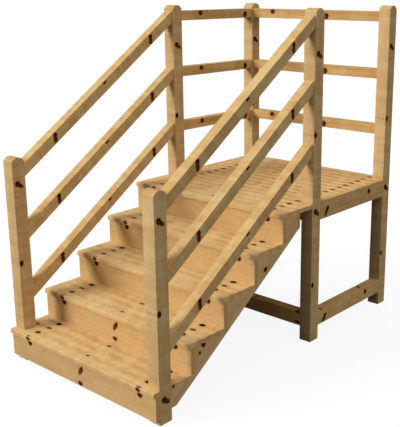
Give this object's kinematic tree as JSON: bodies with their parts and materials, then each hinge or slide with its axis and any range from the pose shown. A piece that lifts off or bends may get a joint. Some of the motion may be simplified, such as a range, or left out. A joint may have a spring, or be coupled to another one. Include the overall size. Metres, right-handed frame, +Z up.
{
  "type": "wooden deck stairs",
  "caption": "Straight wooden stairs with closed risers and sloping rail guards, climbing to a railed landing on braced posts, open on one side, for reaching a raised door or deck",
  "frame": {"origin": "middle of the footprint, on the ground", "axes": "+X to the right of someone climbing, +Y the way they climb, +Z up"},
  "size_m": [1.35, 2.424, 2.235],
  "materials": {
    "post_pine": "planed knotty pine, clear matt finish",
    "rail_pine": "planed knotty pine, clear matt finish",
    "board_pine": "planed knotty pine, clear matt finish",
    "frame_pine": "planed knotty pine, clear matt finish"
  },
  "bodies": {
    "root": {"back_rail_low": "rail_pine", "back_rail_mid": "rail_pine", "back_rail_top": "rail_pine", "bridging_left": "frame_pine", "bridging_middle": "frame_pine", "bridging_right": "frame_pine", "deck_boards": "board_pine", "flight_rail_left_low": "rail_pine", "flight_rail_left_mid": "rail_pine", "flight_rail_left_top": "rail_pine", "flight_rail_right_low": "rail_pine", "flight_rail_right_mid": "rail_pine", "flight_rail_right_top": "rail_pine", "joist_mid_left": "frame_pine", "joist_mid_right": "frame_pine", "joist_outer_left": "frame_pine", "joist_outer_right": "frame_pine", "newel_left": "post_pine", "newel_right": "post_pine", "post_back_left": "post_pine", "post_back_right": "post_pine", "post_front_left": "post_pine", "post_front_right": "post_pine", "rim_back": "frame_pine", "rim_front": "frame_pine", "rim_left": "frame_pine", "rim_right": "frame_pine", "riser_1": "board_pine", "riser_2": "board_pine", "riser_3": "board_pine", "riser_4": "board_pine", "riser_5": "board_pine", "side_rail_low": "rail_pine", "side_rail_mid": "rail_pine", "side_rail_top": "rail_pine", "stair_header": "frame_pine", "stretcher_front": "frame_pine", "stretcher_left": "frame_pine", "stretcher_right": "frame_pine", "stringer_left": "frame_pine", "stringer_right": "frame_pine", "tread_1": "board_pine", "tread_2": "board_pine", "tread_3": "board_pine", "tread_4": "board_pine", "tread_5": "board_pine"}
  },
  "joints": []
}
